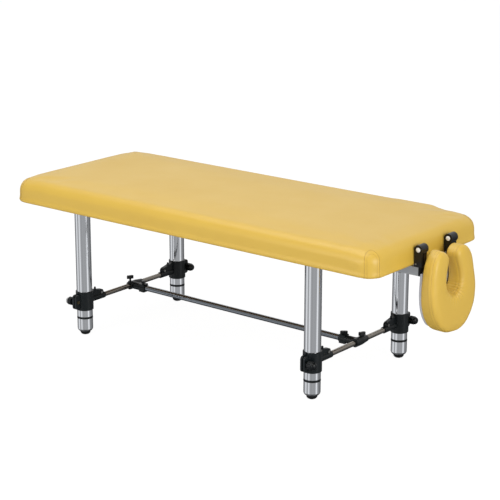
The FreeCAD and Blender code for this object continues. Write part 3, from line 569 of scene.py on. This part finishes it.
def make_metal(name, colour, roughness, spread):
    material, tree, shader, place = new_finish(name)
    haze = add_node(tree, "ShaderNodeTexNoise", {
        "Vector": place, "Scale": 1 / HAZE, "Detail": 4.0})
    worn = add_node(tree, "ShaderNodeMapRange", {
        "Value": haze.outputs["Fac"], "To Min": roughness, "To Max": roughness + spread})
    tree.links.new(worn.outputs["Result"], shader.inputs["Roughness"])
    shader.inputs["Base Color"].default_value = linear(colour)
    shader.inputs["Metallic"].default_value = 1.0
    return material


chrome = make_metal("bright_chrome_plate", "#E2E4E6", 0.07, 0.05)
# The long bar's chrome is darkened and tinted blue-grey: painted reflection of the dark room in
# shade under the bed.
bar_chrome_painted_reflection = make_metal("chrome_plate_painted_dark_reflection", "#989EA5", 0.14, 0.05)
# The cross bars' steel is a warm dark grey: painted reflection of the brown board in shade above
# them.
drawn_steel_painted_reflection = make_metal("drawn_steel_painted_reflection", "#98928A", 0.20, 0.08)
zinc = make_metal("zinc_plated_steel", "#A2A29E", 0.36, 0.12)
turned_brass = make_metal("turned_brass", "#C7A968", 0.25, 0.10)
ZINC_NODES = (
    "flange_screws", "bracket_bolts", "cradle_screws", "socket_bolts", "arm_rivets",
    "hinge_pins",
)
for node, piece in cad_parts.items():
    if node.startswith(("leg_tube", "foot_sleeve")):
        cover(piece, chrome)
    if node.startswith("cross_bar"):
        cover(piece, drawn_steel_painted_reflection)
    if node.startswith("leg_flange") or node in ZINC_NODES:
        cover(piece, zinc)
cover(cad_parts["long_bar"], bar_chrome_painted_reflection)
cover(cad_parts["collar_nuts"], turned_brass)


# Clamps, knobs and plugs: black glass-filled nylon, moulded with a fine spark texture.
# The texture breaks the shine into a dark satin with a slight blue-green cast. Beside
# them come the rubber, the enamelled arms, the painted brackets and the small mouldings.
RUBBED = 40 * MM


def make_moulded(name, colour, roughness, grain, relief_depth, shine=0.5):
    material, tree, shader, place = new_finish(name)
    spark = add_node(tree, "ShaderNodeTexNoise", {
        "Vector": place, "Scale": 1 / grain, "Detail": 2.0})
    rubbed = add_node(tree, "ShaderNodeTexNoise", {
        "Vector": place, "Scale": 1 / RUBBED, "Detail": 3.0})
    satin = add_node(tree, "ShaderNodeMapRange", {
        "Value": rubbed.outputs["Fac"], "To Min": roughness - 0.06, "To Max": roughness + 0.06})
    tree.links.new(satin.outputs["Result"], shader.inputs["Roughness"])
    relief = add_node(tree, "ShaderNodeBump", {
        "Height": spark.outputs["Fac"], "Strength": 0.4, "Distance": relief_depth})
    tree.links.new(relief.outputs["Normal"], shader.inputs["Normal"])
    shader.inputs["Base Color"].default_value = linear(colour)
    shader.inputs["IOR"].default_value = 1.5
    shader.inputs["Specular IOR Level"].default_value = shine
    return material


black_nylon = make_moulded("black_moulded_nylon", "#12181A", 0.33, 0.6 * MM, 0.06 * MM, 0.32)
black_knob = make_moulded("black_knob_nylon", "#0E1214", 0.30, 0.5 * MM, 0.05 * MM, 0.35)
black_rubber = make_moulded("black_rubber", "#101214", 0.7, 0.8 * MM, 0.15 * MM, 0.3)
black_enamel = make_moulded("black_powder_coat", "#0E1013", 0.30, 0.4 * MM, 0.05 * MM, 0.4)
silver_paint = make_metal("silver_painted_steel", "#BFC2C4", 0.38, 0.10)
silver_plating = make_metal("silver_plated_plastic", "#E6E6E4", 0.24, 0.08)
white_cap = make_moulded("white_moulded_cap", "#E6E3DB", 0.3, 0.6 * MM, 0.02 * MM)
grey_board = make_moulded("grey_moulded_board", "#C3C4CB", 0.35, 0.9 * MM, 0.05 * MM)
for node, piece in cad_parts.items():
    if node.startswith(("collar_foot", "collar_head", "t_clamp", "leg_plug")):
        cover(piece, black_nylon)
    if node.startswith(("collar_knob", "sleeve_knob", "socket_knob")):
        cover(piece, black_knob)
    if node.startswith("rubber_foot") or node == "bracket_end_caps":
        cover(piece, black_rubber)
    if node.startswith(("fixed_arm", "moving_arm")):
        cover(piece, black_enamel)
    if node.startswith("cradle_bracket"):
        cover(piece, silver_paint)
cover(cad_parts["knob_cap_foot_near"], silver_plating)


# Cradle board: a light grey moulded board screwed to the two straps. It is drawn in a
# little from the cushion's outline, so that the cushion hides its lower edge.
BOARD_SHARE = (1, 0.93, 0.95)
BOARD_EDGE = 1.2 * MM
board_low, board_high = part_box("cradle_board")
board = copy_of("cradle_board", "cradle_back_board")
bpy.ops.transform.resize(value=BOARD_SHARE, center_override=(board_low.x, 0, board_high.z))
bpy.ops.object.mode_set(mode="OBJECT")
bpy.ops.object.shade_flat()
finish_with(board, "BEVEL", width=BOARD_EDGE, segments=2, limit_method="ANGLE")
cover(board, grey_board)
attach(board, "cradle")
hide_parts("cradle_board")


# Hinge pin caps: small white push-on domes that hide the ends of the pins. Each dome
# stands on the near end of its pin.
DOME_R = 8.5 * MM
DOME_H = 3.6 * MM
CAP_T = 2.5 * MM
pins_low, pins_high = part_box("pin_caps")
for name, face in (("near", pins_low.y + CAP_T), ("far", pins_high.y)):
    start_clean()
    bpy.ops.mesh.primitive_uv_sphere_add(
        segments=32, ring_count=16, radius=1, rotation=(math.pi / 2, 0, 0),
        location=((pins_low.x + pins_high.x) / 2, face, (pins_low.z + pins_high.z) / 2),
    )
    cap = bpy.context.object
    cap.scale = (DOME_R, DOME_R, DOME_H)
    settle(cap, "pin_dome_" + name)
    edit(cap)
    bpy.ops.mesh.select_all(action="SELECT")
    bpy.ops.mesh.bisect(plane_co=(0, face, 0), plane_no=(0, 1, 0), clear_outer=True, use_fill=True)
    bpy.ops.object.mode_set(mode="OBJECT")
    bpy.ops.object.shade_smooth()
    cover(cap, white_cap)
    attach(cap, "frame")
    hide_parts("pin_caps")


# Sleeve lips: a rubber lip round the top of each levelling sleeve, which makes the dark
# ring above it look 8 mm thick while the foot is screwed in.
LIP_H = 3.4 * MM
LIP_OUT = 0.3 * MM
LIP_GAP = 0.2 * MM
for leg in ("foot_near", "foot_far", "head_near", "head_far"):
    sleeve_low, sleeve_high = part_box("foot_sleeve_" + leg)
    centre = (sleeve_low + sleeve_high) / 2
    lip_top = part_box("leg_plug_" + leg)[0].z - LIP_GAP
    start_clean()
    bpy.ops.mesh.primitive_cylinder_add(
        vertices=96, radius=(sleeve_high.x - sleeve_low.x) / 2 + LIP_OUT, depth=LIP_H,
        location=(centre.x, centre.y, lip_top - LIP_H / 2), end_fill_type="NOTHING",
    )
    lip = bpy.context.object
    settle(lip, "sleeve_lip_" + leg)
    finish_with(lip, "SOLIDIFY", thickness=2 * LIP_OUT, offset=0)
    cover(lip, black_rubber)
    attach(lip, "level_foot_" + leg)


# Studio: a white sweep, soft light from above and the left, and a weaker light from the
# right. The sweep is white to the eye and keeps the bed's soft shadow; what mirrors in
# shiny metal is the room below, so the sweep is clear to mirrored rays.
PAPER_GLOW = 1.12
PAPER_SHARE = 0.85
start_clean()
bpy.ops.mesh.primitive_plane_add(size=40, location=(0, 0, 0))
floor = settle(bpy.context.object, "studio_floor")
sweep = bpy.data.materials.new("studio_paper")
sweep.use_nodes = True
tree = sweep.node_tree
tree.nodes.clear()
paper = add_node(tree, "ShaderNodeBsdfDiffuse", {"Color": (0.82, 0.82, 0.82, 1)})
white = add_node(tree, "ShaderNodeEmission", {"Color": (1, 1, 1, 1), "Strength": PAPER_GLOW})
clear = add_node(tree, "ShaderNodeBsdfTransparent")
seen = add_node(tree, "ShaderNodeLightPath")
share = add_node(tree, "ShaderNodeMath", {
    0: seen.outputs["Is Camera Ray"], 1: PAPER_SHARE}, operation="MULTIPLY")
mixed = add_node(tree, "ShaderNodeMixShader", {
    0: share.outputs[0], 1: paper.outputs[0], 2: white.outputs[0]})
mixed = add_node(tree, "ShaderNodeMixShader", {
    0: seen.outputs["Is Glossy Ray"], 1: mixed.outputs[0], 2: clear.outputs[0]})
add_node(tree, "ShaderNodeOutputMaterial", {"Surface": mixed.outputs[0]})
cover(floor, sweep)

# What shiny metal reflects: the room round the sweep, drawn as upright bands of light and
# shade by compass angle (degrees from the camera's side, brightness), darker underfoot
ROOM = (
    (-140, 0.20), (-118, 0.36), (-104, 0.70), (-92, 0.98), (-84, 0.80), (-74, 0.32), (-62, 0.48),
    (-46, 1.00), (-34, 0.50), (-18, 0.36), (0, 0.42), (30, 0.40), (44, 0.42), (54, 1.00),
    (66, 0.90), (78, 0.32), (108, 0.26), (139, 0.10),
)
ROOM_BEHIND = (0.13, 0.13, 0.14, 1)
CAMERA_ANGLE = 39.05
azimuth = math.radians(CAMERA_ANGLE)
world = bpy.data.worlds.new("studio")
bpy.context.scene.world = world
world.use_nodes = True
tree = world.node_tree
tree.nodes.clear()
path = add_node(tree, "ShaderNodeLightPath")
ray = add_node(tree, "ShaderNodeTexCoord").outputs["Generated"]
look = add_node(tree, "ShaderNodeSeparateXYZ", {0: ray})
behind = add_node(tree, "ShaderNodeMath", {0: look.outputs["Y"], 1: -1.0}, operation="MULTIPLY")
compass = add_node(tree, "ShaderNodeMath", {
    0: look.outputs["X"], 1: behind.outputs[0]}, operation="ARCTAN2")
turn = add_node(tree, "ShaderNodeMapRange", {
    "Value": compass.outputs[0], "From Min": -math.pi, "From Max": math.pi})
bands = add_node(tree, "ShaderNodeValToRGB", {"Fac": turn.outputs["Result"]})
stops = bands.color_ramp.elements
for angle, level in ROOM:
    stop = stops.new((angle + CAMERA_ANGLE + 180) / 360)
    stop.color = (level, level * 1.01, level * 1.04, 1)
stops[0].color = stops[len(stops) - 1].color = ROOM_BEHIND
underfoot = add_node(tree, "ShaderNodeMapRange", {
    "Value": look.outputs["Z"],
    "From Min": -0.75, "From Max": -0.34, "To Min": 0.2, "To Max": 1.0})
lower = add_node(tree, "ShaderNodeMix", {
    "Factor": underfoot.outputs["Result"], "A": (0, 0, 0, 1), "B": bands.outputs["Color"]},
    data_type="RGBA")

# The ceiling is bright behind the bed and dim on the camera's side
camera_side = (math.sin(azimuth), -math.cos(azimuth), 0)
facing = add_node(tree, "ShaderNodeVectorMath", {0: ray, 1: camera_side}, operation="DOT_PRODUCT")
ceiling = add_node(tree, "ShaderNodeMapRange", {
    "Value": facing.outputs["Value"],
    "From Min": -0.7, "From Max": 0.1, "To Min": 0.95, "To Max": 0.34})
sky = add_node(tree, "ShaderNodeCombineColor", {
    channel: ceiling.outputs["Result"] for channel in ("Red", "Green", "Blue")})
overhead = add_node(tree, "ShaderNodeMapRange", {
    "Value": look.outputs["Z"], "From Min": -0.12, "From Max": 0.12})
room = add_node(tree, "ShaderNodeMix", {
    "Factor": overhead.outputs["Result"], "A": lower.outputs["Result"],
    "B": sky.outputs["Color"]}, data_type="RGBA")

# The plain light of the room on matte surfaces, and white paper behind the bed
plain = add_node(tree, "ShaderNodeBackground", {"Color": (0.95, 0.97, 1.0, 1), "Strength": 0.5})
bright = add_node(tree, "ShaderNodeBackground", {"Color": (1, 1, 1, 1), "Strength": 1.0})
mirrored = add_node(tree, "ShaderNodeBackground", {
    "Color": room.outputs["Result"], "Strength": 1.0})
mixed = add_node(tree, "ShaderNodeMixShader", {
    0: path.outputs["Is Glossy Ray"], 1: plain.outputs[0], 2: mirrored.outputs[0]})
mixed = add_node(tree, "ShaderNodeMixShader", {
    0: path.outputs["Is Camera Ray"], 1: mixed.outputs[0], 2: bright.outputs[0]})
add_node(tree, "ShaderNodeOutputWorld", {"Surface": mixed.outputs[0]})


def hang_light(name, place, target, width, height, power):
    """Adds one softbox that faces its target; sizes in metres and power in watts."""
    data = bpy.data.lights.new(name, "AREA")
    data.shape = "RECTANGLE"
    data.size = width
    data.size_y = height
    data.energy = power
    lamp = bpy.data.objects.new(name, data)
    lamp.location = place
    lamp.rotation_euler = (Vector(target) - Vector(place)).to_track_quat("-Z", "Y").to_euler()
    bpy.context.scene.collection.objects.link(lamp)


hang_light("overhead_softbox", (-0.4, -0.6, 3.2), (0, 0, 0.5), 3.0, 2.0, 40)
hang_light("left_softbox", (-0.9, -4.2, 1.7), (-0.1, 0, 0.4), 1.6, 2.0, 47)
hang_light("right_softbox", (3.6, -1.0, 1.6), (0.3, 0, 0.4), 1.0, 2.0, 50)

# Camera: at the photograph's angle, distance and framing, level with the bed's middle
CAMERA_RISE = 15.86
CAMERA_DISTANCE = 6.03397
TARGET_Z = 0.4
elevation = math.radians(CAMERA_RISE)
lens = bpy.data.cameras.new("camera")
lens.lens = 115.49
lens.sensor_width = 36
lens.shift_x = 0.0225
lens.shift_y = -0.0112
camera = bpy.data.objects.new("camera", lens)
bpy.context.scene.collection.objects.link(camera)
back = Vector((
    math.sin(azimuth) * math.cos(elevation),
    -math.cos(azimuth) * math.cos(elevation),
    math.sin(elevation),
))
camera.location = Vector(((low.x + high.x) / 2, 0, TARGET_Z)) + back * CAMERA_DISTANCE
camera.rotation_euler = back.to_track_quat("Z", "Y").to_euler()
bpy.context.scene.camera = camera
bpy.context.scene.view_settings.view_transform = "Standard"
